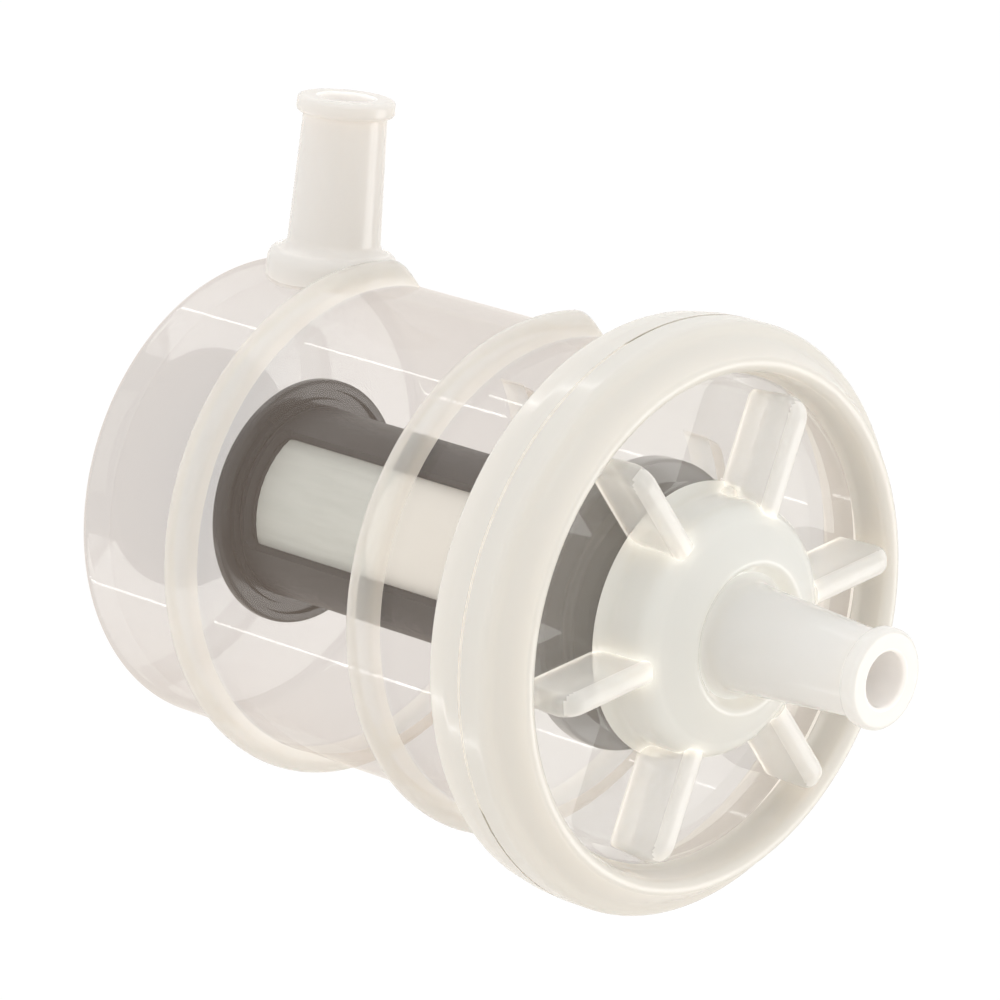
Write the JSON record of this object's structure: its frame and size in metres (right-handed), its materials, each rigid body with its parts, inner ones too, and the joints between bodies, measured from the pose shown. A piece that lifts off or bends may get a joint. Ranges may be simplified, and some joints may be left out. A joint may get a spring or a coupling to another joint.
{
  "type": "in-line fuel filter",
  "caption": "Clear round in-line fuel filter with a side inlet stem, a welded domed cover with radial fins and an end outlet stem; a dark caged filter element shows inside.",
  "frame": {"origin": "middle of the closed end's flat outside face", "axes": "+Z along the filter's axis from the closed end to the outlet; the inlet stem points along -X"},
  "size_m": [0.0682, 0.0564, 0.082],
  "materials": {
    "clear_housing": "clear natural polypropylene, smooth",
    "milky_fitting": "milky natural polypropylene, smooth",
    "milky_cover": "milky natural polypropylene, smooth",
    "black_plate": "black moulded plastic, low sheen",
    "black_cage": "black moulded plastic, low sheen",
    "black_outlet_plate": "black moulded plastic, low sheen",
    "grey_wrap": "fine spun non-woven",
    "cream_collar": "cream plastic, smooth",
    "filter_paper": "resin-treated filter paper",
    "core_tube": "natural plastic, slotted",
    "adhesive_closed": "dark cured adhesive",
    "adhesive_open": "dark cured adhesive",
    "seal_rubber": "moulded fuel-proof rubber"
  },
  "bodies": {
    "root": {"housing": "clear_housing", "inlet_fitting": "milky_fitting", "cover": "milky_cover", "closed_end_plate": "black_plate", "cage": "black_cage", "open_end_plate": "black_outlet_plate", "filter_wrap": "grey_wrap", "outlet_collar": "cream_collar", "pleated_paper": "filter_paper", "centre_tube": "core_tube", "closed_end_bond": "adhesive_closed", "open_end_bond": "adhesive_open", "neck_seal": "seal_rubber"}
  },
  "joints": []
}
